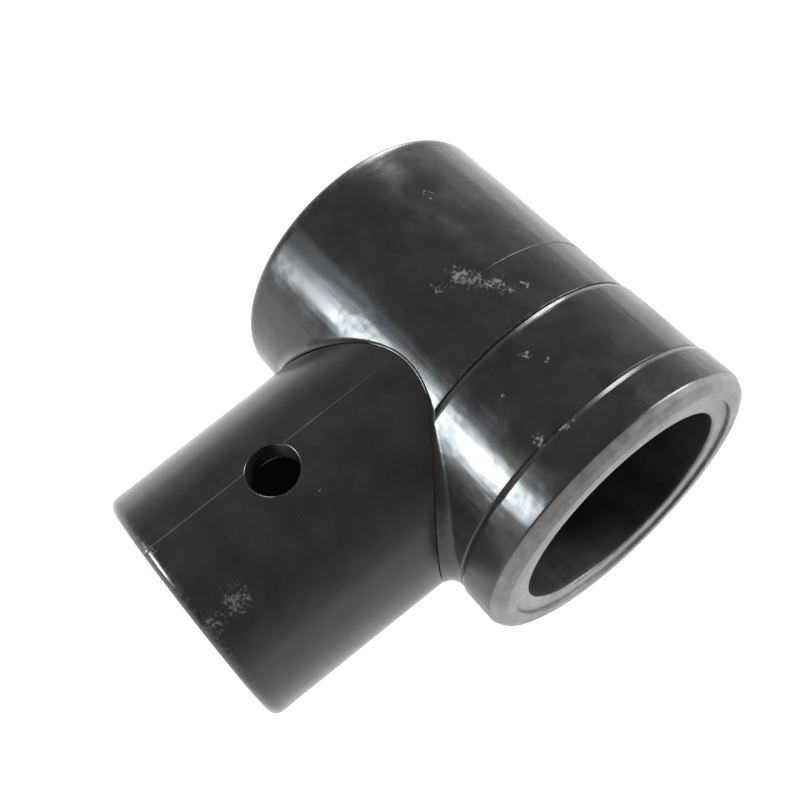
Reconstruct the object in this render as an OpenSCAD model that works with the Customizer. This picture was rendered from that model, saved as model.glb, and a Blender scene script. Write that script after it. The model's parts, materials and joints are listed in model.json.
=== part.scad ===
// Reducing tee sleeve: a bushed run with a stepped barrel and a tapered side socket.
// The run lies along X, the side socket points along -Y, and the two axes cross at the origin.

/* [Run] */
// Length of the run, face to face
run_length = 68; // [68:1:76]
// Outside diameter of the plain barrel
run_od = 54; // [53:0.5:54.5]
// Diameter of the hole through the run
bore_d = 40.5; // [38:0.5:42]
// Outside diameter of the bush that lines the run
bush_od = 47; // [45:0.5:47.5]
// How far the bush stands back from each end of the run
bush_recess = 0.6; // [0.2:0.1:1]
// Rounding of the barrel's plain end
far_edge_r = 2; // [1:0.25:2.25]

/* [Stepped sleeve and end collar] */
// Distance from the socket's axis to the start of the stepped sleeve
step_x = 8.6; // [4:0.2:12]
// Length of the ramp on the stepped sleeve
step_ramp = 1.4; // [0.8:0.2:2]
// Outside diameter of the stepped sleeve
step_od = 54.7; // [54.5:0.1:55]
// Width of the end collar
collar_w = 8.7; // [6:0.1:8.7]
// Outside diameter of the end collar
collar_od = 55.4; // [55.1:0.1:57]
// Rounding of the collar's front edge
collar_front_r = 2; // [0.6:0.1:2.2]
// Rounding of the collar's back edge
collar_back_r = 0.6; // [0.3:0.1:1]

/* [Side socket] */
// Distance from the run's axis to the socket's mouth
socket_reach = 63.5; // [60:0.5:76]
// Outside diameter of the socket at its mouth
socket_mouth_d = 43.6; // [42:0.1:44]
// Outside diameter of the socket where it meets the barrel's crown
socket_root_d = 44.9; // [44.5:0.1:45.2]
// Diameter of the hole that takes the side tube
socket_bore_d = 34.2; // [30:0.2:35]
// Depth of the hole that takes the side tube
socket_depth = 35; // [26:1:36]
// Diameter of the core beyond the tube stop
core_d = 29; // [20:0.5:29]
// Diameter of the spigot that seats in the barrel's side port
spigot_d = 38; // [36:0.5:39]
// Rounding of the socket's mouth
mouth_edge_r = 1.8; // [0.8:0.1:2]

/* [Pin hole] */
// Diameter of the cross hole for the locking bolt
pin_d = 8.5; // [6:0.5:11]
// Distance from the run's axis to the cross hole
pin_reach = 41; // [39:0.5:46]

/* [Fillet] */
// Radius of the fillet at the socket's flanks, where it faces the run's two ends
fillet_r = 2.75; // [1.5:0.25:2.75]
// Radius of the fillet at the socket's crown, above and below
crown_fillet_r = 0.6; // [0.4:0.1:1.2]
// Steps round the fillet
fillet_steps = 96; // [48:12:120]

/* [Hidden] */
round_fn = 120;
black = [0.05, 0.05, 0.055];
liner_black = [0.09, 0.09, 0.095];
half_run = run_length / 2;
collar_x = half_run - collar_w;
edge_break = 0.5;        // small chamfers on bores and lips
lip_r = 0.2;             // rounding of the collar's inner lip
draft = (socket_root_d - socket_mouth_d) / 2 / (socket_reach - run_od / 2);
stop_y = socket_reach - socket_depth;
past = 1;                // how far a cutter runs past a face
seat_gap = 0.04;         // clearance between the fillet ring and what it sits on
arc_steps = 6;
crown_until = 0.35;      // cosine of the angle round the socket up to which the fillet stays small
flank_from = 0.9;        // and from which it has its full radius

// Radius of the side socket's outside at a distance from the run's axis
function socket_r(l) = socket_mouth_d / 2 + (socket_reach - l) * draft;

// Radius of the barrel's outside at a place along the run
function barrel_r(x) =
    x <= step_x ? run_od / 2
    : x >= step_x + step_ramp ? step_od / 2
    : run_od / 2 + (step_od - run_od) / 2 * (x - step_x) / step_ramp;

// Points on an arc, for rounded corners of turned profiles
function arc(cx, cy, r, from, to, n = arc_steps) =
    [for (i = [0:n]) let (a = from + (to - from) * i / n) [cx + r * cos(a), cy + r * sin(a)]];

// A body of revolution about the run's axis; each point is [radius, x]
module turned(points) {
    rotate([0, 90, 0]) rotate_extrude($fn = round_fn) polygon(points);
}

// A body of revolution about the side socket's axis; each point is [radius, reach]
module turned_side(points) {
    rotate([90, 0, 0]) rotate_extrude($fn = round_fn) polygon(points);
}

// The hole in the barrel's side that the socket's spigot seats in
module side_port() {
    rotate([90, 0, 0]) cylinder(d = spigot_d, h = run_od, $fn = round_fn);
}

// The barrel's outer envelope as one solid, used to cut the socket's saddle
module barrel_envelope() {
    turned([[0, -half_run], [run_od / 2, -half_run], [run_od / 2, step_x],
            [step_od / 2, step_x + step_ramp], [step_od / 2, half_run], [0, half_run]]);
}

module run_shell() {
    edge = far_edge_r;
    color(black) difference() {
        turned(concat([[bush_od / 2, step_x], [bush_od / 2, -half_run]],
                      arc(run_od / 2 - edge, -half_run + edge, edge, -90, 0),
                      [[run_od / 2, step_x]]));
        side_port();
    }
}

module step_sleeve() {
    color(black) difference() {
        turned([[bush_od / 2, step_x], [run_od / 2, step_x],
                [step_od / 2, step_x + step_ramp], [step_od / 2, collar_x],
                [bush_od / 2, collar_x]]);
        side_port();
    }
}

module end_collar() {
    front = collar_front_r;
    back = collar_back_r;
    color(black) turned(concat(
        [[bush_od / 2, collar_x], [collar_od / 2 - back, collar_x]],
        arc(collar_od / 2 - back, collar_x + back, back, -90, 0),
        arc(collar_od / 2 - front, half_run - front, front, 0, 90),
        arc(bush_od / 2 + lip_r, half_run - lip_r, lip_r, 90, 180)));
}

module liner_bush() {
    end = half_run - bush_recess;
    color(liner_black) turned([
        [bore_d / 2, -end + edge_break], [bore_d / 2 + edge_break, -end],
        [bush_od / 2, -end], [bush_od / 2, end],
        [bore_d / 2 + edge_break, end], [bore_d / 2, end - edge_break]]);
}

module branch_socket() {
    edge = mouth_edge_r;
    color(black) difference() {
        union() {
            difference() {
                turned_side(concat(
                    [[0, 0], [socket_r(0), 0]],
                    arc(socket_r(socket_reach) - edge, socket_reach - edge, edge, 0, 90),
                    [[0, socket_reach]]));
                barrel_envelope();
            }
            difference() {
                turned_side([[0, 0], [spigot_d / 2, 0], [spigot_d / 2, run_od / 2 + past],
                             [0, run_od / 2 + past]]);
                turned([[0, -half_run], [bush_od / 2, -half_run], [bush_od / 2, half_run],
                        [0, half_run]]);
            }
        }
        turned_side([[0, 0], [core_d / 2, 0], [core_d / 2, stop_y],
                     [socket_bore_d / 2, stop_y], [socket_bore_d / 2, socket_reach - edge_break],
                     [socket_bore_d / 2 + edge_break + past, socket_reach + past],
                     [0, socket_reach + past]]);
        translate([0, -pin_reach, -socket_mouth_d]) cylinder(d = pin_d, h = 2 * socket_mouth_d, $fn = round_fn);
    }
}

// The fillet's radius at an angle round the socket
function fillet_at(a) =
    let (t = min(1, max(0, (abs(cos(a)) - crown_until) / (flank_from - crown_until))))
    crown_fillet_r + (fillet_r - crown_fillet_r) * t * t * (3 - 2 * t);

// Distance from the run's axis to the socket's foot at an angle round the socket
function foot_reach(a) =
    let (r = socket_root_d / 2)
    sqrt(pow(barrel_r(r * cos(a)), 2) - pow(r * sin(a), 2));

// One cross-section of the fillet ring: the corner, then the arc from barrel to socket.
// A ball of the fillet's radius, rolling in the corner, gives the arc's centre.
function fillet_section(a) =
    let (
        r_fillet = fillet_at(a),
        r_side = socket_r(foot_reach(a)) + seat_gap,
        x_ball = (r_side + r_fillet) * cos(a),
        z_ball = (r_side + r_fillet) * sin(a),
        r_barrel = barrel_r(x_ball) + seat_gap,
        y_ball = -sqrt(pow(r_barrel + r_fillet, 2) - z_ball * z_ball),
        share = r_barrel / (r_barrel + r_fillet),
        r_corner = barrel_r(r_side * cos(a)) + seat_gap,
        corner = [r_side * cos(a), -sqrt(pow(r_corner, 2) - pow(r_side * sin(a), 2)), r_side * sin(a)],
        ball = [x_ball, y_ball, z_ball],
        on_barrel = [x_ball, y_ball * share, z_ball * share],
        on_side = [r_side * cos(a), y_ball, r_side * sin(a)],
        u = (on_barrel - ball) / r_fillet,
        v = (on_side - ball) / r_fillet,
        spread = acos(u * v)
    )
    concat([corner], [for (i = [0:arc_steps])
        let (s = i / arc_steps)
        ball + r_fillet * (u * sin(spread * (1 - s)) + v * sin(spread * s)) / sin(spread)]);

module saddle_fillet() {
    m = arc_steps + 2;
    n = fillet_steps;
    points = [for (i = [0:n - 1]) each fillet_section(360 * i / n)];
    faces = [for (i = [0:n - 1], j = [0:m - 1])
        let (a = i * m, b = ((i + 1) % n) * m, k = (j + 1) % m)
        each [[a + j, a + k, b + k], [a + j, b + k, b + j]]];
    color(black) polyhedron(points, faces);
}

run_shell();
step_sleeve();
end_collar();
liner_bush();
branch_socket();
saddle_fillet();
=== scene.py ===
"""The look of a moulded reducing tee sleeve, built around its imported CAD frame.

All lengths are metres in the frame's own axes: the run lies along X, the side socket points
along -Y and the cross hole runs along Z. Angles round the run are measured in degrees from -Y
towards +Z, so 90 is the top of the barrel and 0 is under the side socket.
"""

import json
from math import atan2, cos, hypot, pi, radians, sin, sqrt, tan

import bmesh
import bpy
from bpy.props import FloatProperty, FloatVectorProperty, IntProperty, PointerProperty
from mathutils import Matrix, Vector, noise


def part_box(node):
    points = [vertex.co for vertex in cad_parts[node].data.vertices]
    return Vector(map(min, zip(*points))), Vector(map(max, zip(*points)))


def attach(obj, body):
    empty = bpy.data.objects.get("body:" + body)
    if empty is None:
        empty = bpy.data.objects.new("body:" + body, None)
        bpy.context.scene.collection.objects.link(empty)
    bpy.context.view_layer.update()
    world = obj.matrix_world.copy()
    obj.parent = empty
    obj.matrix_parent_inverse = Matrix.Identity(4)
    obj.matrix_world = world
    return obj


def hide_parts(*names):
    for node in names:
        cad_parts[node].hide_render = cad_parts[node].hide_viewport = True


bl_info = {
    "name": "Reducing Tee Sleeve",
    "version": (1, 0, 0),
    "blender": (4, 5, 0),
    "location": "View3D > Sidebar > Tee Sleeve",
    "description": "Builds the sleeve's moulded pieces, their finish and a plain stage",
    "category": "Object",
}

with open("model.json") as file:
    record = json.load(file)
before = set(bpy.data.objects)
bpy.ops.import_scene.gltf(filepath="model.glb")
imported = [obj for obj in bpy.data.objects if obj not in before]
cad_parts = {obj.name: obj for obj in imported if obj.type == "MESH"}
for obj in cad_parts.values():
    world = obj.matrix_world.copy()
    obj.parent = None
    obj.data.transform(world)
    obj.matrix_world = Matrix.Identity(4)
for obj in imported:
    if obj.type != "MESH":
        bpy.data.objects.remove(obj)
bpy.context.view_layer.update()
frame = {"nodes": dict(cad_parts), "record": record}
BODY = "root"
MM = 0.001

SHELL_LOW, SHELL_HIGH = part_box("run_shell")
SLEEVE_LOW, SLEEVE_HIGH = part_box("step_sleeve")
COLLAR_LOW, COLLAR_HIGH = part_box("end_collar")
BUSH_LOW, BUSH_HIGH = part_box("liner_bush")
SOCKET_LOW, SOCKET_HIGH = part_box("branch_socket")
MOUNTS = {mount["name"]: mount for mount in frame["record"]["mounts"]}

BARREL_R = SHELL_HIGH.z
SLEEVE_R = SLEEVE_HIGH.z
COLLAR_R = COLLAR_HIGH.z
BUSH_R = BUSH_HIGH.z
BORE_R, SOCKET_BORE_R, PIN_R = (MOUNTS[name]["dims"]["r_mm"] * MM
                                for name in ("run_bore", "socket_bore", "pin_hole"))
SOCKET_BORE_L = MOUNTS["socket_bore"]["dims"]["length_mm"] * MM
PIN_REACH = -MOUNTS["pin_hole"]["pos_m"][1]
REACH = -SOCKET_LOW.y
ROOT_R = SOCKET_HIGH.x


# ---- settings


def length(name, description, default, low=0.0, high=0.2):
    """A length property in metres."""
    return FloatProperty(name=name, description=description, default=default, min=low,
                         max=high, unit="LENGTH", subtype="DISTANCE", precision=5)


def share(name, description, default):
    """A number from 0 to 1."""
    return FloatProperty(name=name, description=description, default=default, min=0.0,
                         max=1.0, subtype="FACTOR")


def colour(name, description, default):
    """An opaque colour."""
    return FloatVectorProperty(name=name, description=description, default=(*default, 1.0),
                               size=4, min=0.0, max=1.0, subtype="COLOR")


def bearing(name, description, degrees):
    """An angle, given in degrees."""
    return FloatProperty(name=name, description=description, default=radians(degrees),
                         subtype="ANGLE")


class BarrelSettings(bpy.types.PropertyGroup):
    """Shape of the run: plain shell, stepped sleeve, end collar and bush."""

    segments: IntProperty(
        name="Segments", description="Faces round the run", default=288, min=96, max=512)
    row: length("Row", "Longest face along the run", 0.0007, 0.0003)
    far_edge: length("Far edge", "Rounding of the plain end", 0.002)
    rim_edge: length("Rim edge", "Rounding of small rims", 0.0002)
    ramp: length("Ramp", "Length of the sleeve's ramp", 0.0014)
    step_groove: length("Step groove", "Depth of the line before the ramp", 0.00025)
    seam_groove: length("Seam groove", "Depth of the line behind the collar", 0.0002)
    back_edge: length("Back edge", "Width of the collar's sloping back", 0.0009)
    bevel: length("Bevel", "Width of the collar's front bevel", 0.002)
    bore_edge: length("Bore edge", "Rounding of the bore's two ends", 0.0005)
    wave: length("Wave", "Height of the moulding's slow unevenness", 0.00003)


class SocketSettings(bpy.types.PropertyGroup):
    """Shape of the side socket, its cross hole and the fillet at its root."""

    segments: IntProperty(
        name="Segments", description="Faces round the socket, in fours", default=240, min=96)
    mouth_edge: length("Mouth edge", "Rounding of the socket's mouth", 0.0018)
    bore_edge: length("Bore edge", "Rounding of the hole's edge at the mouth", 0.0005)
    core_r: length("Core radius", "Radius of the passage beyond the tube stop", 0.0145)
    spigot_r: length("Spigot radius", "Radius of the spigot in the side port", 0.019)
    pin_edge: length("Pin edge", "Rounding of the cross hole's edge", 0.0003)
    wave: length("Wave", "Height of the moulding's slow unevenness", 0.000025)
    fillet_r: length("Fillet radius", "Radius of the fillet at the root's flanks", 0.0026)
    crown_fillet_r: length("Crown fillet radius", "Radius of the fillet above and below", 0.0006)
    crevice: length("Crevice", "Gap between the fillet's lip and the socket", 0.00014)
    line_x: length("Parting plane", "Place of the mould's parting plane along X", -0.0023, -0.01)
    line_w: length("Line width", "Width of the parting line's flash", 0.00026)
    line_h: length("Line height", "Height of the parting line's flash", 0.00007)


class FinishSettings(bpy.types.PropertyGroup):
    """Colour and gloss of the mouldings."""

    body_black: colour("Body black", "Colour of the glossy mouldings", (0.0095, 0.0083, 0.0086))
    bush_black: colour("Bush black", "Colour of the satin bush", (0.02, 0.02, 0.021))
    dust: colour("Dust", "Colour of dust and scuffed plastic", (0.30, 0.29, 0.29))
    # Painted sheen: the two greys below stand in for the pale floor's reflection in the collar's
    # front face and the bush's end faces.
    sheen_grey: colour("Worn grey", "Colour of the collar's handled front", (0.16, 0.16, 0.154))
    bush_sheen_grey: colour("Bush grey", "Colour of the bush's handled ends", (0.27, 0.27, 0.262))
    gloss_rough: share("Body roughness", "Roughness of the clean glossy skin", 0.19)
    satin_rough: share("Bush roughness", "Roughness of the bush's faces", 0.29)


class StageSettings(bpy.types.PropertyGroup):
    """Floor, lights, surroundings and camera."""

    view_azimuth: bearing("View azimuth", "Camera's bearing from -Y towards +X", 62.927)
    view_elevation: bearing("View elevation", "Camera's height above the run's plane", 61.312)
    view_roll: bearing("View roll", "Turn of the camera about its line of sight", 13.886)
    view_distance: length("View distance", "Camera's distance from its aim", 0.19558, 0.0, 5.0)
    aim: FloatVectorProperty(
        name="Aim", description="Point that the camera looks at",
        default=(-0.00681, -0.01399, -0.00017), size=3, subtype="TRANSLATION", unit="LENGTH")
    lens: FloatProperty(
        name="Lens", description="Focal length on a 36 mm sensor", default=50.469, min=1.0,
        unit="CAMERA")
    floor_size: length("Floor size", "Side of the square floor", 4.0, 0.1, 50.0)
    floor_white: colour("Floor white", "Colour of the floor", (0.3, 0.3, 0.3))
    floor_glow: FloatProperty(
        name="Floor glow", description="Light that the floor gives off by itself", default=1.0,
        min=0.0)


# ---- outlines and meshes


def mix(a, b, part):
    """The value between a and b."""
    return a + (b - a) * part


def smooth_step(low, high, value):
    """0 below low, 1 above high, and an S curve between them."""
    t = min(1.0, max(0.0, (value - low) / (high - low)))
    return t * t * (3.0 - 2.0 * t)


def between(first, last, t, size=1.0):
    """The direction a share t of the way round from one to another, times a size."""
    spread = first.angle(last)
    return size * (first * sin(spread * (1 - t)) + last * sin(spread * t)) / sin(spread)


def rounded_outline(corners, longest, arc_steps=6):
    """Closed outline from corners of (x, radius, rounding): points of (x, radius, edge weight).

    A corner that turns sharply gets an edge weight near 1, a gentle one gets 0.
    """
    stretches, weights = [], []
    for i, (x, r, rounding) in enumerate(corners):
        here = Vector((x, r))
        to_last = (Vector(corners[i - 1][:2]) - here).normalized()
        to_next = (Vector(corners[(i + 1) % len(corners)][:2]) - here).normalized()
        half = to_last.angle(to_next) / 2
        weights.append(smooth_step(radians(35), radians(65), pi - 2 * half))
        if rounding == 0.0:
            stretches.append([here])
            continue
        centre = here + (to_last + to_next).normalized() * rounding / sin(half)
        first = here + to_last * rounding / tan(half) - centre
        last = here + to_next * rounding / tan(half) - centre
        stretches.append([centre + between(first, last, k / arc_steps)
                          for k in range(arc_steps + 1)])
    outline = []
    for i, arc in enumerate(stretches):
        outline += [(p.x, p.y, weights[i]) for p in arc]
        start, end = arc[-1], stretches[(i + 1) % len(stretches)][0]
        pieces = max(1, int((end - start).length / longest + 0.999))
        for k in range(1, pieces):
            p = start.lerp(end, k / pieces)
            outline.append((p.x, p.y, 0.0))
    return outline


def ring_faces(rows, columns, close_rows=True, first=0):
    """Quads over a grid of vertices stored row by row from first, each row a closed ring."""
    faces = []
    for i in range(rows if close_rows else rows - 1):
        below, above = first + i * columns, first + (i + 1) % rows * columns
        for j in range(columns):
            k = (j + 1) % columns
            faces.append((below + j, below + k, above + k, above + j))
    return faces


def piece_mesh(name, points, faces, edges, sheen=None):
    """A clean mesh with outward normals, smooth faces, sharp corners, its edge wear values and its
    painted-sheen values.
    """
    mesh = bpy.data.meshes.new(name)
    mesh.from_pydata([tuple(p) for p in points], [], faces)
    for label, values in (("edge_wear", edges), ("face_sheen", sheen)):
        if values:
            mesh.attributes.new(label, "FLOAT", "POINT").data.foreach_set("value", values)
    work = bmesh.new()
    work.from_mesh(mesh)
    loose = [v for v in work.verts if not v.link_faces]
    bmesh.ops.delete(work, geom=loose, context="VERTS")
    bmesh.ops.recalc_face_normals(work, faces=work.faces)
    work.to_mesh(mesh)
    work.free()
    mesh.shade_smooth()
    mesh.set_sharp_from_angle(angle=radians(38))
    return mesh


def new_object(name, mesh):
    """An object for the mesh, in the scene and at the origin."""
    piece = bpy.data.objects.new(name, mesh)
    bpy.context.scene.collection.objects.link(piece)
    return piece


def finish_piece(piece, material, slot, *nodes):
    """Gives a piece its material and body and hides its CAD nodes, which finishes its operator;
    the slot is not used.
    """
    piece.data.materials.clear()
    piece.data.materials.append(material)
    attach(piece, BODY)
    if nodes:
        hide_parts(*nodes)
    return {"FINISHED"}


def run_point(x, angle, r):
    """The point at a distance x along the run, at an angle in degrees and a radius."""
    turn = radians(angle)
    return Vector((x, -r * cos(turn), r * sin(turn)))


def barrel_r(x):
    """Outside radius of the barrel at a place along the run."""
    ramp = bpy.context.scene.tee_barrel.ramp
    return mix(BARREL_R, SLEEVE_R, min(1.0, max(0.0, (x - SHELL_HIGH.x) / ramp)))


def unevenness(point, height):
    """How far a thick moulding shrank away from the mould: a slow waviness, never outward."""
    slow_length, quick_length = 0.013, 0.0052
    slow = noise.noise(point / slow_length)
    quick = noise.noise(point / quick_length + Vector((3.1, 7.7, 1.3)))
    return height * min(0.0, slow + 0.4 * quick - 1.1)


def turned_piece(name, corners, wave=0.0, sheen_from=1.0):
    """A body of revolution about the run, uneven on its outside and plain near the socket.

    Further than the given distance from the middle of the run, its surface is painted a satin grey
    sheen that stands in for the floor's reflection.
    """
    settings = bpy.context.scene.tee_barrel
    outline = rounded_outline(corners, settings.row)
    clear = ROOT_R + bpy.context.scene.tee_socket.fillet_r * 1.2
    points, edges, sheen = [], [], []
    for x, r, edge in outline:
        # 1 where the painted grey sheen goes, standing in for the floor's reflection
        sheen += [smooth_step(sheen_from, sheen_from + 0.0003, abs(x))] * settings.segments
        for j in range(settings.segments):
            p = run_point(x, 360 * j / settings.segments, r)
            if wave and r > BUSH_R + 0.001:
                near = 1.0 if p.y > 0 else smooth_step(clear, clear + 0.005, hypot(p.x, p.z))
                p += Vector((0, p.y, p.z)).normalized() * unevenness(p, wave) * near
            points.append(p)
            edges.append(edge)
    return new_object(name, piece_mesh(name, points, ring_faces(len(outline), settings.segments),
                                       edges, sheen))


def cut_side_port(piece):
    """Cuts the hole that the socket's spigot seats in."""
    spigot_r = bpy.context.scene.tee_socket.spigot_r
    work = bmesh.new()
    bmesh.ops.create_cone(work, cap_ends=True, segments=180, radius1=spigot_r,
                          radius2=spigot_r, depth=BARREL_R * 1.2)
    bmesh.ops.rotate(work, verts=work.verts, matrix=Matrix.Rotation(pi / 2, 3, "X"))
    bmesh.ops.translate(work, verts=work.verts, vec=(0, -BARREL_R * 0.75, 0))
    mesh = bpy.data.meshes.new("port_cutter")
    work.to_mesh(mesh)
    work.free()
    cutter = new_object("port_cutter", mesh)
    cut = piece.modifiers.new("side_port", "BOOLEAN")
    cut.operation = "DIFFERENCE"
    cut.solver = "EXACT"
    cut.object = cutter
    bpy.context.view_layer.update()
    shape = piece.evaluated_get(bpy.context.evaluated_depsgraph_get())
    cut_mesh = bpy.data.meshes.new_from_object(shape)
    piece.modifiers.clear()
    piece.data = cut_mesh
    bpy.data.objects.remove(cutter)
    bpy.data.meshes.remove(mesh)


# ---- node groups


def feed(socket, value):
    """Links a socket to another one's output, or sets its own value."""
    if isinstance(value, bpy.types.NodeSocket):
        socket.id_data.links.new(value, socket)
    else:
        socket.default_value = value


def set_inputs(made, **values):
    """Feeds a node's inputs by name, with _ for a space, or by place, as n0, n1 and so on."""
    for key, value in values.items():
        by_place = key[0] == "n" and key[1:].isdigit()
        feed(made.inputs[int(key[1:]) if by_place else key.replace("_", " ")], value)
    return made


def add_node(tree, kind, **values):
    """A node of a kind; a name that isn't one of its properties feeds one of its inputs."""
    made = tree.nodes.new(kind)
    for key in [key for key in values if hasattr(made, key)]:
        setattr(made, key, values.pop(key))
    return set_inputs(made, **values)


def maths(tree, operation, a, b=0.0, c=0.0, clamp=False):
    """The result of a maths node."""
    return add_node(tree, "ShaderNodeMath", operation=operation, use_clamp=clamp, n0=a, n1=b,
                    n2=c).outputs[0]


def blend_colour(tree, factor, a, b):
    """The result of mixing two colours."""
    return add_node(tree, "ShaderNodeMix", data_type="RGBA", n0=factor, n6=a,
                    n7=b).outputs[2]


def product(tree, a, b, clamp=False):
    """The product of two values."""
    return maths(tree, "MULTIPLY", a, b, clamp=clamp)


def object_place(tree):
    """Where a point is on the sleeve, in metres."""
    return add_node(tree, "ShaderNodeTexCoord").outputs["Object"]


def grains(tree, size):
    """The scale that gives a texture grains of a size in millimetres."""
    return maths(tree, "DIVIDE", 1.0 / MM, size)


def closeness(tree, distance, reach):
    """1 at no distance, falling evenly to 0 at the reach."""
    return maths(tree, "SUBTRACT", 1.0, maths(tree, "DIVIDE", distance, reach), clamp=True)


def remap(tree, value, low, high, to_low=0.0, to_high=1.0, kind="LINEAR"):
    """The value spread from low..high to to_low..to_high."""
    return add_node(tree, "ShaderNodeMapRange", interpolation_type=kind, Value=value, n1=low,
                    n2=high, n3=to_low, n4=to_high).outputs[0]


def new_group(name, inputs, outputs):
    """An empty shader group, the sockets its inputs come from and its output node."""
    group = bpy.data.node_groups.new(name, "ShaderNodeTree")
    for label, value in inputs.items():
        kind = "NodeSocketVector" if isinstance(value, tuple) else "NodeSocketFloat"
        socket = group.interface.new_socket(label, in_out="INPUT", socket_type=kind)
        socket.default_value = value
    for label in outputs:
        group.interface.new_socket(label, in_out="OUTPUT", socket_type="NodeSocketFloat")
    source = group.nodes.new("NodeGroupInput").outputs
    return group, source, group.nodes.new("NodeGroupOutput")


def place_group(tree, name, **values):
    """A group node in a material, with its own values."""
    return add_node(tree, "ShaderNodeGroup", node_tree=bpy.data.node_groups[name], **values)


def noise_at(tree, size, detail=2.0, rough=0.5, stretch=None):
    """Noise whose grains have a size in millimetres."""
    place = object_place(tree)
    if stretch:
        place = add_node(tree, "ShaderNodeMapping", Vector=place, Scale=stretch).outputs[0]
    return add_node(tree, "ShaderNodeTexNoise", Vector=place, Scale=grains(tree, size),
                    Detail=detail, Roughness=rough).outputs["Fac"]


def build_mould_skin():
    """Height of the skin in millimetres: fine orange peel, shallow dimples and flow lines."""
    group, source, leave = new_group(
        "Mould Skin", {"Peel Size": 0.5, "Peel Depth": 0.002, "Dimple Size": 1.6,
                       "Dimple Depth": 0.004, "Flow Depth": 0.002}, ["Height"])
    peel = product(group, noise_at(group, source["Peel Size"], 3.0, 0.6), source["Peel Depth"])
    dents = add_node(group, "ShaderNodeTexVoronoi", feature="SMOOTH_F1", Smoothness=0.6,
                     Vector=object_place(group),
                     Scale=grains(group, source["Dimple Size"])).outputs["Distance"]
    where = remap(group, noise_at(group, 9.0, 1.0), 0.42, 0.62)
    dents = product(group, product(group, dents, source["Dimple Depth"]), where)
    streaks = noise_at(group, 5.0, 2.0, 0.5, (0.15, 1.0, 2.2))
    flow = product(group, streaks, source["Flow Depth"])
    total = maths(group, "ADD", maths(group, "ADD", peel, dents), flow)
    set_inputs(leave, Height=total)


def build_handling_film():
    """A cloudy value between Low and High, where hands and dust have dulled the skin."""
    group, source, leave = new_group(
        "Handling Film", {"Size": 9.0, "Low": 0.2, "High": 0.32}, ["Value"])
    cloud = noise_at(group, source["Size"], 5.0, 0.62)
    set_inputs(leave, Value=remap(group, cloud, 0.36, 0.66, source["Low"], source["High"]))


def build_scuff_patch():
    """Mask of one patch of broken scuffs, thick at its centre and gone at its radius."""
    group, source, leave = new_group(
        "Scuff Patch", {"Centre": (0.0, 0.0, 0.0), "Radius": 3.0, "Grain": 0.5, "Cover": 0.5},
        ["Mask"])
    place = object_place(group)
    warp_grain, warp_reach = 0.8 / MM, 5 * MM
    warp = add_node(group, "ShaderNodeTexNoise", Vector=place, Scale=warp_grain, Detail=3.0)
    centred = add_node(group, "ShaderNodeVectorMath", operation="SUBTRACT",
                       n0=warp.outputs["Color"], n1=(0.5, 0.5, 0.5))
    bent = add_node(group, "ShaderNodeVectorMath", operation="MULTIPLY_ADD",
                    n0=centred.outputs[0], n1=(warp_reach,) * 3, n2=place)
    away = add_node(group, "ShaderNodeVectorMath", operation="DISTANCE", n0=bent.outputs[0],
                    n1=source["Centre"])
    inside = closeness(group, away.outputs["Value"], product(group, source["Radius"], MM))
    grain = noise_at(group, source["Grain"], 4.0, 0.65)
    lifted = maths(group, "MULTIPLY_ADD", inside, source["Cover"], grain)
    flakes = remap(group, lifted, 0.62, 0.9)
    set_inputs(leave, Mask=product(group, flakes, maths(group, "GREATER_THAN", inside, 0.001)))


def build_dust_specks():
    """Mask of single dust specks, one at most in each cell."""
    group, source, leave = new_group(
        "Dust Specks", {"Spacing": 4.0, "Size": 0.12, "Share": 0.3}, ["Mask"])
    cells = add_node(group, "ShaderNodeTexVoronoi", Vector=object_place(group),
                     Scale=grains(group, source["Spacing"]))
    edge = maths(group, "DIVIDE", source["Size"], source["Spacing"])
    near = closeness(group, cells.outputs["Distance"], edge)
    pick = add_node(group, "ShaderNodeSeparateColor", n0=cells.outputs["Color"])
    kept = maths(group, "LESS_THAN", pick.outputs[0], source["Share"])
    set_inputs(leave, Mask=product(group, product(group, near, 2.0, True), kept))


def build_edge_rub():
    """Mask of rubbed corners, broken up by grain; Edge is 1 on a corner and 0 away from it."""
    group, source, leave = new_group(
        "Edge Rub", {"Edge": 0.0, "Grain": 0.8, "Amount": 0.5}, ["Mask"])
    broken = remap(group, noise_at(group, source["Grain"], 4.0, 0.6), 0.45, 0.7)
    rubbed = product(group, source["Edge"], broken)
    set_inputs(leave, Mask=product(group, rubbed, source["Amount"], True))


def build_groups():
    """Builds the shared groups, once."""
    if "Mould Skin" not in bpy.data.node_groups:
        for build in (build_mould_skin, build_handling_film, build_scuff_patch,
                      build_dust_specks, build_edge_rub):
            build()


# ---- materials

RUBBED_GREY = (0.09, 0.09, 0.09, 1.0)  # colour of rubbed corners
FLASH_BLACK = (0.035, 0.034, 0.033, 1.0)
SPECK_MASK = 0.55  # strength of a dust speck, where a scuff's is 1
DUST_COVER = 0.42  # share of the plastic's own colour that a scuff hides
DUST_HEIGHT = 0.004  # in millimetres
DULL_DUST, DULL_SATIN, DULL_RUB = 0.3, 0.14, 0.15  # roughness that dust, the faces with painted sheen and rubbed corners each add

# Skin relief in millimetres: peel size and depth, dimple size and depth, depth of flow lines
SKINS = {
    "run": (0.55, 0.0013, 1.7, 0.04, 0.085),
    "socket": (0.6, 0.001, 1.8, 0.002, 0.008),
    "bush": (0.3, 0.003, 1.0, 0.001, 0.004),
    "flash": (0.2, 0.004, 0.6, 0.004, 0.0),
}

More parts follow.
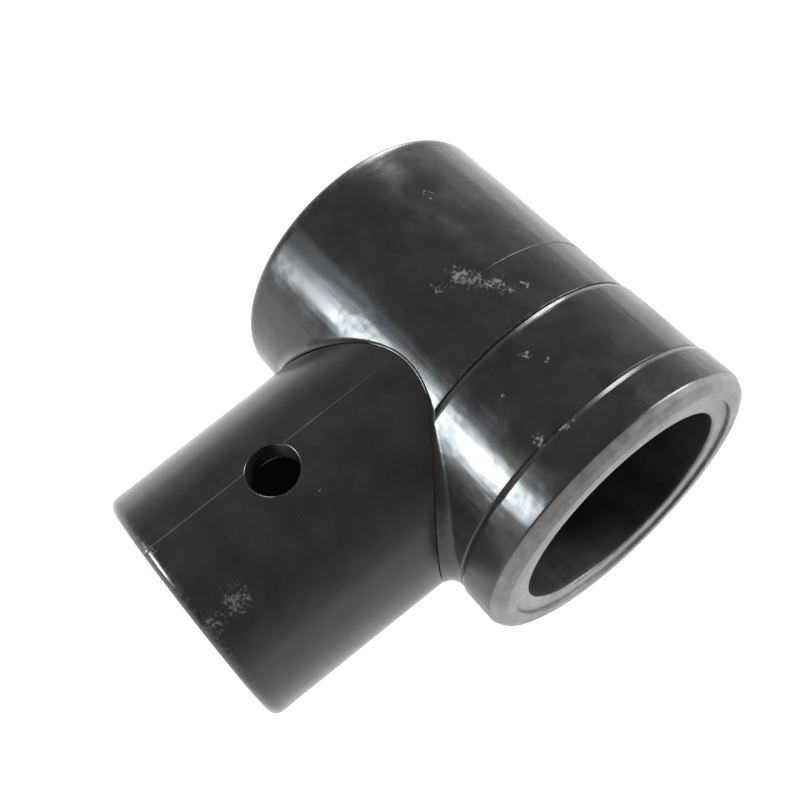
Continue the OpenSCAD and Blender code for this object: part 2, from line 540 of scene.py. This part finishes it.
# Scuffs on the run: place along X, angle, radius, grain (all lengths in mm) and cover
RUN_SCUFFS = [
    (-4.0, 89.5, 2.4, 0.6, 0.42),
    (-1.6, 92.5, 2.2, 0.55, 0.31),
    (0.6, 96.2, 1.8, 0.55, 0.33),
    (2.6, 99.0, 1.2, 0.5, 0.4),
    (3.8, 103.9, 0.8, 0.45, 0.55),
    (-4.8, 81.8, 1.0, 0.5, 0.4),
    (-20.6, 105.4, 0.8, 0.45, 0.4),
    (16.0, 70.6, 0.8, 0.45, 0.45),
    (13.5, 85.5, 0.9, 0.45, 0.42),
    (16.2, 89.0, 0.7, 0.45, 0.42),
    (24.4, 69.2, 0.9, 0.45, 0.5),
    (25.7, 78.5, 1.1, 0.45, 0.5),
]
# Scuffs on the socket: place along X, distance from the run's axis, radius, grain and cover
SOCKET_SCUFFS = [
    (6.7, 38.2, 0.45, 0.25, 0.5),
    (8.2, 42.9, 0.45, 0.25, 0.5),
    (11.5, 57.0, 3.2, 0.5, 0.24),
    (12.2, 61.0, 2.2, 0.5, 0.24),
    (-1.0, 62.1, 1.2, 0.4, 0.34),
]


def new_material(name):
    """A material with its node tree and its shader."""
    material = bpy.data.materials.new(name)
    material.use_nodes = True
    tree = material.node_tree
    return material, tree, tree.nodes["Principled BSDF"]


def plastic(name, base, sheen_colour, rough_low, rough_high, skin, scuffs, edge_amount):
    """Black plastic: one of the SKINS, cloudy gloss, rubbed corners, dust, its own scuffs and
    painted grey sheen where the mesh marks it.
    """
    if name in bpy.data.materials:
        return bpy.data.materials[name]
    build_groups()
    finish = bpy.context.scene.tee_finish
    material, tree, shader = new_material(name)
    film = place_group(tree, "Handling Film", Size=9.0, Low=rough_low, High=rough_high)
    specks = place_group(tree, "Dust Specks", Spacing=3.4, Size=0.11, Share=0.22)
    mask = product(tree, specks.outputs[0], SPECK_MASK)
    for centre, radius, grain, cover in scuffs:
        patch = place_group(tree, "Scuff Patch", Centre=tuple(centre), Radius=radius,
                            Grain=grain, Cover=cover)
        mask = maths(tree, "MAXIMUM", mask, patch.outputs[0])
    edge = add_node(tree, "ShaderNodeAttribute", attribute_name="edge_wear")
    rub = place_group(tree, "Edge Rub", Edge=edge.outputs["Fac"], Grain=0.9,
                      Amount=edge_amount)
    tint = place_group(tree, "Handling Film", Size=5.0, Low=0.8, High=1.5)
    mottled = add_node(tree, "ShaderNodeVectorMath", operation="SCALE", n0=tuple(base)[:3],
                       Scale=tint.outputs[0])
    # Painted sheen: where the mesh's sheen values are set, the grey given stands in for the
    # floor's reflection, broken up by a cloudy noise; the same share also dulls the roughness.
    sheen = add_node(tree, "ShaderNodeAttribute", attribute_name="face_sheen").outputs["Fac"]
    sheen_haze = place_group(tree, "Handling Film", Size=2.5, Low=0.6, High=1.0).outputs[0]
    sheen_and_satin = product(tree, sheen, sheen_haze)
    body = blend_colour(tree, sheen_and_satin, mottled.outputs[0], tuple(sheen_colour))
    body = blend_colour(tree, rub.outputs[0], body, RUBBED_GREY)
    dusty = blend_colour(tree, product(tree, mask, DUST_COVER), body, tuple(finish.dust))
    dull = maths(tree, "MULTIPLY_ADD", mask, DULL_DUST, film.outputs[0])
    dull = maths(tree, "MULTIPLY_ADD", sheen_and_satin, DULL_SATIN, dull)
    dull = maths(tree, "MULTIPLY_ADD", rub.outputs[0], DULL_RUB, dull, clamp=True)
    relief = place_group(tree, "Mould Skin", **{f"n{i}": v for i, v in enumerate(SKINS[skin])})
    raised = maths(tree, "MULTIPLY_ADD", mask, DUST_HEIGHT, relief.outputs[0])
    bump = add_node(tree, "ShaderNodeBump", Height=raised, Distance=MM)
    set_inputs(shader, Base_Color=dusty, Roughness=dull, Normal=bump.outputs[0], IOR=1.5)
    return material


def body_material():
    """Glossy black of the run's mouldings, with the run's scuffs."""
    finish = bpy.context.scene.tee_finish
    scuffs = [(run_point(x * MM, angle, barrel_r(x * MM)), radius, grain, cover)
              for x, angle, radius, grain, cover in RUN_SCUFFS]
    rough = finish.gloss_rough
    return plastic("gloss_black_run", finish.body_black, finish.sheen_grey, rough - 0.03,
                   rough + 0.12, "run", scuffs, 0.35)


def socket_material():
    """Glossy black of the side socket, a little duller, with the socket's scuffs."""
    finish = bpy.context.scene.tee_finish
    scuffs = []
    for x, away, radius, grain, cover in SOCKET_SCUFFS:
        r = socket_r(away * MM)
        scuffs.append((Vector((x * MM, -away * MM, sqrt(r * r - (x * MM) ** 2))), radius, grain,
                       cover))
    rough = finish.gloss_rough
    return plastic("gloss_black_socket", finish.body_black, finish.sheen_grey, rough,
                   rough + 0.08, "socket", scuffs, 0.35)


def bush_material():
    """Satin black of the bush."""
    finish = bpy.context.scene.tee_finish
    rough = finish.satin_rough
    return plastic("satin_black_bush", finish.bush_black, finish.bush_sheen_grey, rough - 0.05,
                   rough + 0.08, "bush", [], 0.5)


def flash_material():
    """Paler, duller black of the thin flash along the parting line."""
    return plastic("flash_black", FLASH_BLACK, FLASH_BLACK, 0.25, 0.4, "flash", [], 0.3)


# ---- side socket


WELD = 0.0001  # CAD vertices this near a place count as lying on it
PATCH = 12  # half the side, in faces, of the square that the cross hole's ends replace
BLEND_RINGS = 6  # rings between that square and the round hole
ROUND_ROWS = 6  # rows of the cross hole's rounded outer edge
WAVY_FROM, WAVY_ALL = 0.030, 0.036  # distances from the run's axis where unevenness sets in
PLAIN_FROM, PLAIN_ALL = 0.059, 0.0617  # and where it dies out again before the mouth


def mouth_start():
    """Distance from the run's axis at which the mouth's rounding starts."""
    return REACH - bpy.context.scene.tee_socket.mouth_edge


def measure_mouth_r():
    """Radius of the CAD socket where its mouth's rounding starts."""
    vertices = frame["nodes"]["branch_socket"].data.vertices
    limit = WELD - mouth_start()
    return max(hypot(v.co.x, v.co.z) for v in vertices if v.co.y < limit)


def socket_r(away):
    """Outside radius of the drafted socket at a distance from the run's axis."""
    start = mouth_start()
    mouth_r = bpy.context.scene["tee_mouth_r"]
    draft = (ROOT_R - mouth_r) / (start - BARREL_R)
    if away <= start:
        return mouth_r + (start - away) * draft
    edge = bpy.context.scene.tee_socket.mouth_edge
    beyond = min(edge, away - start)
    return mouth_r - edge + sqrt(max(0.0, edge * edge - beyond * beyond))


def on_barrel(r, angle):
    """Distance from the run's axis at which a radius of the socket meets the barrel."""
    x, z = r * cos(angle), r * sin(angle)
    return sqrt(barrel_r(x) ** 2 - z * z)


def wall_point(x, away, side):
    """A point on the socket's uneven outside, from its x and its distance from the run's axis."""
    wave = bpy.context.scene.tee_socket.wave
    r = socket_r(away)
    base = Vector((x, -away, side * sqrt(max(0.0, r * r - x * x))))
    near = smooth_step(WAVY_FROM, WAVY_ALL, away) * (1 - smooth_step(PLAIN_FROM, PLAIN_ALL, away))
    grown = 1 + unevenness(base, wave) * near / r
    return Vector((base.x * grown, -away, base.z * grown))


def ladder(top, middle, above, below):
    """Evenly spaced distances from top down past middle, which is one of them."""
    step = (top - middle) / above
    return [top - i * step for i in range(above + below + 1)]


def socket_outline(angle):
    """The socket's closed outline at one angle, as (radius, distance, edge weight, is outside)."""
    s = bpy.context.scene.tee_socket
    start = mouth_start()
    rows = []

    def add(r, away, edge=0.0, outside=False):
        rows.append((r, away, edge, outside))

    def lead(r, away, count):
        """Adds rows that lead evenly from the last one to a radius and a distance."""
        last_r, last_away = rows[-1][:2]
        for i in range(1, count + 1):
            add(mix(last_r, r, i / count), mix(last_away, away, i / count))

    wall = ladder(start, PIN_REACH, 36, PATCH + 2)[::-1]
    foot = on_barrel(socket_r(on_barrel(ROOT_R, angle)), angle)
    for away in [mix(foot, wall[0], i / 16) for i in range(16)] + wall:
        add(socket_r(away), away, 0.0, True)
    edge, centre_r = s.mouth_edge, socket_r(start) - s.mouth_edge
    for turn in (pi / 2 * i / 10 for i in range(1, 11)):
        add(centre_r + edge * cos(turn), start + edge * sin(turn), 1.0)
    edge, lip_r = s.bore_edge, SOCKET_BORE_R + s.bore_edge
    lead(lip_r, REACH, 6)
    for turn in (pi / 2 * i / 5 for i in range(1, 6)):
        add(lip_r - edge * sin(turn), REACH - edge * (1 - cos(turn)), 1.0)
    inner = ladder(REACH - edge, PIN_REACH, 44, PATCH + 1)
    for away in inner[1:]:
        add(SOCKET_BORE_R, away)
    stop = REACH - edge - SOCKET_BORE_L
    lead(SOCKET_BORE_R, stop, 10)
    lead(s.core_r, stop, 4)
    lead(s.core_r, sqrt(BUSH_R ** 2 - (s.core_r * sin(angle)) ** 2), 4)
    for i in range(1, 5):
        r = mix(s.core_r, s.spigot_r, i / 4)
        add(r, sqrt(BUSH_R ** 2 - (r * sin(angle)) ** 2))
    lead(s.spigot_r, on_barrel(s.spigot_r, angle), 3)
    for i in range(1, 5):
        r = mix(s.spigot_r, socket_r(foot), i / 5)
        add(r, on_barrel(r, angle))
    return rows


def bore_point(x, away, side):
    """A point on the socket's bore, from its x and its distance from the run's axis."""
    return Vector((x, -away, side * sqrt(SOCKET_BORE_R ** 2 - x * x)))


def blend_rings(square, turns, surface, side):
    """Rings that lead from the square's border to the cross hole's rim."""
    rim = PIN_R + bpy.context.scene.tee_socket.pin_edge
    shares = [k / (BLEND_RINGS + 1) for k in range(1, BLEND_RINGS + 1)]
    return [[surface(mix(p.x, rim * cos(t), part), mix(-p.y, PIN_REACH + rim * sin(t), part),
                     side) for p, t in zip(square, turns)] for part in shares]


def hole_rings(side, turns):
    """Rings of the cross hole from the outer wall to the inner one, a point for each turn."""
    edge = bpy.context.scene.tee_socket.pin_edge
    inward = Vector((0, 0, -side))

    def ring(surface, r, sink):
        return [surface(r * cos(t), PIN_REACH + r * sin(t), side) + inward * sink for t in turns]

    rings = []
    for i in range(ROUND_ROWS):
        turn = pi / 2 * i / (ROUND_ROWS - 1)
        rings.append(ring(wall_point, PIN_R + edge * (1 - sin(turn)), edge * (1 - cos(turn))))
    low, high = ring(wall_point, PIN_R, edge), ring(bore_point, PIN_R, -edge)
    for i in range(1, 9):
        rings.append([a.lerp(b, i / 8) for a, b in zip(low, high)])
    for i in range(1, 4):
        turn = pi / 2 * i / 3
        rings.append(ring(bore_point, PIN_R + edge * (1 - cos(turn)), -edge * (1 - sin(turn))))
    return rings


def patch_border():
    """The square's border as (column, row) steps from its centre, in order round it."""
    n, steps = PATCH, range(-PATCH, PATCH)
    return ([(i, -n) for i in steps] + [(n, i) for i in steps] + [(-i, n) for i in steps]
            + [(-n, -i) for i in steps])


def socket_mesh():
    """The socket as one closed skin, with its cross hole worked into both walls."""
    columns = bpy.context.scene.tee_socket.segments
    angles = [2 * pi * j / columns for j in range(columns)]
    outlines = [socket_outline(angle) for angle in angles]
    rows = len(outlines[0])
    points, edges = [], []
    for i in range(rows):
        for angle, outline in zip(angles, outlines):
            r, away, edge, outside = outline[i]
            p = Vector((r * cos(angle), -away, r * sin(angle)))
            if outside and abs(p.z) > 1e-9:
                p = wall_point(p.x, away, 1 if p.z > 0 else -1)
            points.append(p)
            edges.append(edge)
    pin_rows = [i for i in range(rows) if abs(outlines[0][i][1] - PIN_REACH) < 1e-7]
    outer_row, inner_row = pin_rows[0], pin_rows[-1]
    border = patch_border()
    gone, bridges = set(), []
    for column, side in ((columns // 4, 1), (3 * columns // 4, -1)):
        for row in (outer_row, inner_row):
            gone.update((row + b) * columns + column + a
                        for a in range(-PATCH, PATCH) for b in range(-PATCH, PATCH))
        # rows climb outwards on the outer wall, and columns run against x on the +Z side
        turns = [atan2(b, -a * side) for a, b in border]
        # the inner wall's rows run inwards, so its border is taken upside down
        outer = [(outer_row + b) * columns + column + a for a, b in border]
        inner = [(inner_row - b) * columns + column + a for a, b in border]

        rings = blend_rings([points[i] for i in outer], turns, wall_point, side)
        rings += hole_rings(side, turns)
        rings += blend_rings([points[i] for i in inner], turns, bore_point, side)[::-1]
        chain = [outer]
        for k, ring in enumerate(rings):
            rounded = BLEND_RINGS <= k < BLEND_RINGS + ROUND_ROWS
            chain.append(list(range(len(points), len(points) + len(ring))))
            points += ring
            edges += [0.15 if rounded else 0.0] * len(ring)
        chain.append(inner)
        for low, high in zip(chain, chain[1:]):
            for i in range(len(border)):
                k = (i + 1) % len(border)
                bridges.append((low[i], low[k], high[k], high[i]))
    kept = [face for n, face in enumerate(ring_faces(rows, columns)) if n not in gone]
    return piece_mesh("branch_socket_moulding", points, kept + bridges, edges)


# ---- fillet and parting line


CROWN_TO, FLANK_FROM = 0.15, 0.9  # cosines between which the fillet grows to its full radius
# The flash on the run fades in between two angles; on the socket it grows over a distance
FADE, GROW = (92, 118), 0.018
NUB_FROM, NUB_ALL, NUB_W, NUB_H = 0.0022, 0.001, 0.0007, 0.00012  # the flash's nub at the mouth


def fillet_radius(angle):
    """Radius of the fillet at an angle round the socket: full at the flanks, small above."""
    s = bpy.context.scene.tee_socket
    return mix(s.crown_fillet_r, s.fillet_r, smooth_step(CROWN_TO, FLANK_FROM, abs(cos(angle))))


def fillet_mesh():
    """The rolling-ball fillet round the socket's root, with a lip that turns into a crevice."""
    s = bpy.context.scene.tee_socket
    steps, arc_steps, lip_steps = 240, 14, 5
    stop_share, lip_rise, lip_drop = 0.84, 0.08, 0.1
    points, edges = [], []
    for i in range(steps):
        angle = 2 * pi * i / steps
        inward = -Vector((cos(angle), 0, sin(angle)))
        r_ball = fillet_radius(angle)
        r_in = socket_r(on_barrel(ROOT_R, angle)) + s.crevice
        ball_x = (r_in + r_ball) * cos(angle)
        ball_z = (r_in + r_ball) * sin(angle)
        r_barrel = barrel_r(ball_x)
        ball = Vector((ball_x, -sqrt((r_barrel + r_ball) ** 2 - ball_z ** 2), ball_z))
        share_out = r_barrel / (r_barrel + r_ball)
        touch = Vector((ball_x, ball.y * share_out, ball_z * share_out))
        outward = (touch - ball) / r_ball
        section = [ball + between(outward, inward, stop_share * k / arc_steps, r_ball)
                   for k in range(arc_steps + 1)]
        top = section[-1]
        lip_in = Vector((r_in * cos(angle), top.y + lip_drop * r_ball, r_in * sin(angle)))
        crest = Vector((r_in * cos(angle), top.y - lip_rise * r_ball, r_in * sin(angle)))
        for k in range(1, lip_steps + 1):
            t = k / lip_steps
            section.append(top * (1 - t) ** 2 + crest * 2 * t * (1 - t) + lip_in * t * t)
        foot = Vector((r_in * cos(angle), -on_barrel(r_in, angle), r_in * sin(angle)))
        points += section + [lip_in.lerp(foot, 0.5), foot, foot.lerp(touch, 0.5)]
        edges += [0.0] * (arc_steps + 1) + [0.4] * lip_steps + [0.0] * 3
    faces = ring_faces(steps, len(points) // steps)
    return piece_mesh("saddle_fillet_moulding", points, faces, edges)


def bead(points, faces, edges, path, outward, widths, heights):
    """Adds a closed half-round bead along a path that lies in a plane of constant x."""
    arc_steps, sink = 6, 0.00006
    first, ring = len(points), arc_steps + 2
    for p, up, width, height in zip(path, outward, widths, heights):
        for k in range(arc_steps + 1):
            turn = pi * k / arc_steps
            points.append(p + Vector((width / 2 * cos(turn), 0, 0)) + up * height * sin(turn))
        points.append(p - up * sink)
        edges += [1.0] * ring
    rows = len(path)
    faces += ring_faces(rows, ring, False, first)
    faces.append(tuple(range(first, first + ring)))
    faces.append(tuple(range(first + (rows - 1) * ring, first + rows * ring))[::-1])


def parting_line_mesh():
    """The mould's flash: a thin bead round the barrel and along both sides of the socket."""
    s = bpy.context.scene.tee_socket
    points, faces, edges = [], [], []
    x = s.line_x
    angles = [mix(90, 270, i / 240) for i in range(241)]
    path = [run_point(x, a, BARREL_R) for a in angles]
    outward = [run_point(0, a, 1.0) for a in angles]
    swell = [0.55 + 0.45 * noise.noise(p / 0.006) for p in path]
    fade = [smooth_step(*FADE, a) * smooth_step(*FADE, 360 - a) for a in angles]
    bead(points, faces, edges, path, outward, [s.line_w * (0.1 + 0.7 * f) for f in fade],
         [s.line_h * (0.02 + 0.7 * f * w) for f, w in zip(fade, swell)])
    rim = PIN_REACH - sqrt((PIN_R + s.pin_edge * 0.5) ** 2 - x * x)
    far_rim = 2 * PIN_REACH - rim
    for side in (1, -1):
        root = on_barrel(ROOT_R, pi / 2) + s.crown_fillet_r + 0.0005
        for start, end, rows in ((root, rim, 60), (far_rim, REACH - 0.0004, 90)):
            path, outward, widths, heights = [], [], [], []
            for i in range(rows + 1):
                away = mix(start, end, i / rows)
                here = wall_point(x, away, side)
                ahead = wall_point(x, away + 0.00005, side)
                along = (ahead - here).normalized()
                up = along.cross(Vector((1, 0, 0))).normalized()
                path.append(here)
                outward.append(-up if up.z * side < 0 else up)
                swell = 0.75 + 0.35 * noise.noise(here / 0.003)
                grow = smooth_step(root, root + GROW, away)
                nub = smooth_step(REACH - NUB_FROM, REACH - NUB_ALL, away)
                widths.append(s.line_w * (0.2 + 0.8 * grow * swell) + NUB_W * nub)
                heights.append(s.line_h * (0.05 + 0.95 * grow * swell) + NUB_H * nub)
            bead(points, faces, edges, path, outward, widths, heights)
    return piece_mesh("parting_line_flash", points, faces, edges)


# ---- operators


class OBJECT_OT_run_shell(bpy.types.Operator):
    """Builds the plain barrel shell, from the far end to the step"""

    bl_idname = "tee.run_shell"
    bl_label = "Run Shell"

    def execute(self, context):
        s = context.scene.tee_barrel
        corners = [
            (SHELL_LOW.x, BUSH_R, s.rim_edge),
            (SHELL_LOW.x, BARREL_R, s.far_edge),
            (SHELL_HIGH.x, BARREL_R, s.rim_edge * 0.7),
            (SHELL_HIGH.x, BUSH_R, 0.0),
        ]
        piece = turned_piece("run_shell_moulding", corners, s.wave)
        cut_side_port(piece)
        return finish_piece(piece, body_material(), "body_black", "run_shell")


class OBJECT_OT_step_sleeve(bpy.types.Operator):
    """Builds the thicker stepped sleeve with its ramp and the line before it"""

    bl_idname = "tee.step_sleeve"
    bl_label = "Stepped Sleeve"

    def execute(self, context):
        s = context.scene.tee_barrel
        x_end = SLEEVE_HIGH.x
        corners = [
            (SLEEVE_LOW.x, BUSH_R, 0.0),
            (SLEEVE_LOW.x, BARREL_R - s.step_groove, 0.0),
            (SLEEVE_LOW.x + 0.0003, BARREL_R - 0.00002, 0.0001),
            (SLEEVE_LOW.x + s.ramp * 0.7, mix(BARREL_R, SLEEVE_R, 0.8), 0.0004),
            (SLEEVE_LOW.x + s.ramp, SLEEVE_R, 0.0006),
            (x_end - 0.0003, SLEEVE_R, 0.0001),
            (x_end, SLEEVE_R - s.seam_groove, 0.0),
            (x_end, BUSH_R, 0.0),
        ]
        piece = turned_piece("step_sleeve_moulding", corners, s.wave)
        cut_side_port(piece)
        return finish_piece(piece, body_material(), "body_black", "step_sleeve")


class OBJECT_OT_end_collar(bpy.types.Operator):
    """Builds the end collar with its rounded back, its front bevel and its recessed lip"""

    bl_idname = "tee.end_collar"
    bl_label = "End Collar"

    def execute(self, context):
        s = context.scene.tee_barrel
        back, face = COLLAR_LOW.x, COLLAR_HIGH.x
        corners = [
            (back, BUSH_R, 0.0),
            (back, SLEEVE_R - s.seam_groove, 0.0),
            (back + 0.00008, SLEEVE_R, 0.00012),
            (back + s.back_edge, COLLAR_R, 0.001),
            (face - s.bevel, COLLAR_R, 0.001),
            (face - s.bevel * 0.3, COLLAR_R - s.bevel * 0.38, 0.0012),
            (face, COLLAR_R - s.bevel * 1.1, 0.0012),
            (face, BUSH_R, s.rim_edge),
        ]
        # From the front bevel on, the collar gets the painted grey sheen that stands in for the
        # floor's reflection.
        piece = turned_piece("end_collar_moulding", corners, s.wave, face - s.bevel)
        return finish_piece(piece, body_material(), "body_black", "end_collar")


class OBJECT_OT_liner_bush(bpy.types.Operator):
    """Builds the bush that lines the run"""

    bl_idname = "tee.liner_bush"
    bl_label = "Liner Bush"

    def execute(self, context):
        s = context.scene.tee_barrel
        corners = [
            (BUSH_LOW.x, BORE_R, s.bore_edge),
            (BUSH_LOW.x, BUSH_R, 0.0001),
            (BUSH_HIGH.x, BUSH_R, 0.0001),
            (BUSH_HIGH.x, BORE_R, s.bore_edge),
        ]
        # Both end faces of the bush get the painted grey sheen that stands in for the floor's
        # reflection.
        piece = turned_piece("liner_bush_turning", corners, 0.0, BUSH_HIGH.x - s.bore_edge)
        return finish_piece(piece, bush_material(), "bush_black", "liner_bush")


class OBJECT_OT_branch_socket(bpy.types.Operator):
    """Builds the tapered side socket with its tube stop, spigot and cross hole"""

    bl_idname = "tee.branch_socket"
    bl_label = "Side Socket"

    def execute(self, context):
        piece = new_object("branch_socket_moulding", socket_mesh())
        return finish_piece(piece, socket_material(), "body_black", "branch_socket")


class OBJECT_OT_saddle_fillet(bpy.types.Operator):
    """Builds the fillet between the socket and the barrel"""

    bl_idname = "tee.saddle_fillet"
    bl_label = "Saddle Fillet"

    def execute(self, context):
        piece = new_object("saddle_fillet_moulding", fillet_mesh())
        return finish_piece(piece, body_material(), "body_black", "saddle_fillet")


class OBJECT_OT_parting_line(bpy.types.Operator):
    """Builds the thin flash that the mould's halves left"""

    bl_idname = "tee.parting_line"
    bl_label = "Parting Line"

    def execute(self, context):
        piece = new_object("parting_line_flash", parting_line_mesh())
        return finish_piece(piece, flash_material(), "body_black")


# ---- stage


def resting_plane():
    """Unit normal of the plane the sleeve rests on, and its distance below the axes' crossing."""
    collar_x, shell_x = COLLAR_HIGH.x - 0.002, SHELL_LOW.x + 0.002
    mouth_away = mouth_start()
    mouth_r = socket_r(mouth_away)
    tilt_x, tilt_y = 0.0, 0.0
    for _ in range(8):
        up = sqrt(1 - tilt_x ** 2 - tilt_y ** 2)
        tilt_x = (COLLAR_R - BARREL_R) * hypot(tilt_y, up) / (collar_x - shell_x)
        depth = COLLAR_R * hypot(tilt_y, up) - tilt_x * collar_x
        tilt_y = (depth - mouth_r * hypot(tilt_x, up)) / mouth_away
    normal = Vector((tilt_x, tilt_y, sqrt(1 - tilt_x ** 2 - tilt_y ** 2)))
    return normal, depth


def floor_material(settings):
    """Pale, faintly mottled floor that glows a little, as a light table does."""
    material, tree, shader = new_material("pale_floor")
    cloud = add_node(tree, "ShaderNodeTexNoise", Scale=3.0, Detail=3.0)
    pale = tuple(settings.floor_white)
    shade = blend_colour(tree, cloud.outputs["Fac"], tuple(c * 0.98 for c in pale[:3]) + (1.0,),
                         pale)
    set_inputs(shader, Base_Color=shade, Roughness=0.9, Emission_Color=(1.0, 1.0, 1.0, 1.0),
               Emission_Strength=settings.floor_glow, Specular_IOR_Level=0.0)
    return material


WHITE_UP_TO = 0.05  # sine of the elevation up to which the surroundings are bright
DIM_FROM = 0.55  # sine of the elevation from which they are dimmest
HORIZON, OVERHEAD = 0.8, 0.32  # their brightness there
OVERHEAD_TINT = (1.0, 0.92, 0.86, 1.0)


def build_world():
    """Surroundings: white near the horizon, dimmer and slightly warm overhead."""
    world = bpy.data.worlds.new("studio_surroundings")
    world.use_nodes = True
    tree = world.node_tree
    background = tree.nodes["Background"]
    direction = add_node(tree, "ShaderNodeTexCoord").outputs["Generated"]
    height = add_node(tree, "ShaderNodeSeparateXYZ", n0=direction).outputs["Z"]
    climb = remap(tree, height, WHITE_UP_TO, DIM_FROM, kind="SMOOTHSTEP")
    level = maths(tree, "MULTIPLY_ADD", climb, OVERHEAD - HORIZON, HORIZON)
    tint = blend_colour(tree, climb, (1.0, 1.0, 1.0, 1.0), OVERHEAD_TINT)
    set_inputs(background, Color=tint, Strength=level)
    bpy.context.scene.world = world


# Soft lights: name, direction from the sleeve, distance, width, height, radiance and colour
LIGHTS = [
    ("key_softbox", (-0.37, -0.81, 0.46), 0.6, 0.20, 0.14, 44.0, (0.88, 0.96, 1.0)),
    ("key_glow", (-0.42, -0.76, 0.50), 0.62, 0.32, 0.30, 2.2, (0.78, 0.93, 1.0)),
    ("far_strip", (-0.80, 0.56, 0.27), 0.8, 0.22, 0.55, 13.0, (1.0, 1.0, 1.0)),
    ("back_strip", (0.18, 0.84, 0.50), 0.8, 0.26, 0.50, 22.0, (1.0, 1.0, 1.0)),
]


def build_light(name, direction, distance, width, height, radiance, tone):
    """A rectangular softbox that faces the sleeve and gives off a set radiance."""
    lamp = bpy.data.lights.new(name, "AREA")
    lamp.shape = "RECTANGLE"
    lamp.size = width
    lamp.size_y = height
    lamp.energy = radiance * pi * width * height
    lamp.color = tone
    light = new_object(name, lamp)
    away = Vector(direction).normalized()
    light.location = away * distance
    light.rotation_mode = "QUATERNION"
    light.rotation_quaternion = (-away).to_track_quat("-Z", "Y")


def build_camera(settings):
    """The camera, placed by bearing, height, roll and distance from its aim."""
    data = bpy.data.cameras.new("view_camera")
    data.lens = settings.lens
    data.sensor_width = 36.0
    data.clip_start = 0.005
    data.clip_end = 50.0
    camera = new_object("view_camera", data)
    a, e = settings.view_azimuth, settings.view_elevation
    back = Vector((sin(a) * cos(e), -cos(a) * cos(e), sin(e)))
    level_right = Vector((0, 0, 1)).cross(back).normalized()
    level_up = back.cross(level_right)
    up = level_up * cos(settings.view_roll) + level_right * sin(settings.view_roll)
    right = up.cross(back)
    turn = Matrix((right, up, back)).transposed()
    camera.matrix_world = Matrix.Translation(
        Vector(settings.aim) + back * settings.view_distance) @ turn.to_4x4()
    bpy.context.scene.camera = camera


class SCENE_OT_stage(bpy.types.Operator):
    """Lays the floor and sets up the surroundings, the soft lights and the camera"""

    bl_idname = "tee.stage"
    bl_label = "Stage"

    def execute(self, context):
        settings = context.scene.tee_stage
        normal, depth = resting_plane()
        work = bmesh.new()
        bmesh.ops.create_grid(work, x_segments=8, y_segments=8, size=settings.floor_size / 2)
        mesh = bpy.data.meshes.new("floor")
        work.to_mesh(mesh)
        work.free()
        floor = new_object("floor", mesh)
        floor.rotation_mode = "QUATERNION"
        floor.rotation_quaternion = Vector((0, 0, 1)).rotation_difference(normal)
        floor.location = -normal * (depth + 0.0001)
        mesh.materials.append(floor_material(settings))
        build_world()
        for light in LIGHTS:
            build_light(*light)
        build_camera(settings)
        context.scene.view_settings.view_transform = "Standard"
        return {"FINISHED"}


# ---- panel and registration


class VIEW3D_PT_tee_sleeve(bpy.types.Panel):
    """Lists the sleeve's pieces and the stage"""

    bl_label = "Reducing Tee Sleeve"
    bl_idname = "VIEW3D_PT_tee_sleeve"
    bl_space_type = "VIEW_3D"
    bl_region_type = "UI"
    bl_category = "Tee Sleeve"

    def draw(self, context):
        for operator in OPERATORS:
            self.layout.operator(operator.bl_idname)


OPERATORS = [
    SCENE_OT_stage,
    OBJECT_OT_run_shell,
    OBJECT_OT_step_sleeve,
    OBJECT_OT_end_collar,
    OBJECT_OT_liner_bush,
    OBJECT_OT_branch_socket,
    OBJECT_OT_saddle_fillet,
    OBJECT_OT_parting_line,
]
SETTINGS = {
    "tee_barrel": BarrelSettings,
    "tee_socket": SocketSettings,
    "tee_finish": FinishSettings,
    "tee_stage": StageSettings,
}


def register():
    """Registers the settings, the operators and the panel."""
    for name, group in SETTINGS.items():
        bpy.utils.register_class(group)
        setattr(bpy.types.Scene, name, PointerProperty(type=group))
    for operator in OPERATORS:
        bpy.utils.register_class(operator)
    bpy.utils.register_class(VIEW3D_PT_tee_sleeve)


def unregister():
    """Takes back everything that register added."""
    bpy.utils.unregister_class(VIEW3D_PT_tee_sleeve)
    for operator in reversed(OPERATORS):
        bpy.utils.unregister_class(operator)
    for name, group in SETTINGS.items():
        delattr(bpy.types.Scene, name)
        bpy.utils.unregister_class(group)


def main():
    """Builds the stage and every piece."""
    register()
    bpy.context.scene["tee_mouth_r"] = measure_mouth_r()
    for operator in OPERATORS:
        group, name = operator.bl_idname.split(".")
        getattr(getattr(bpy.ops, group), name)()


if __name__ == "__main__":
    main()
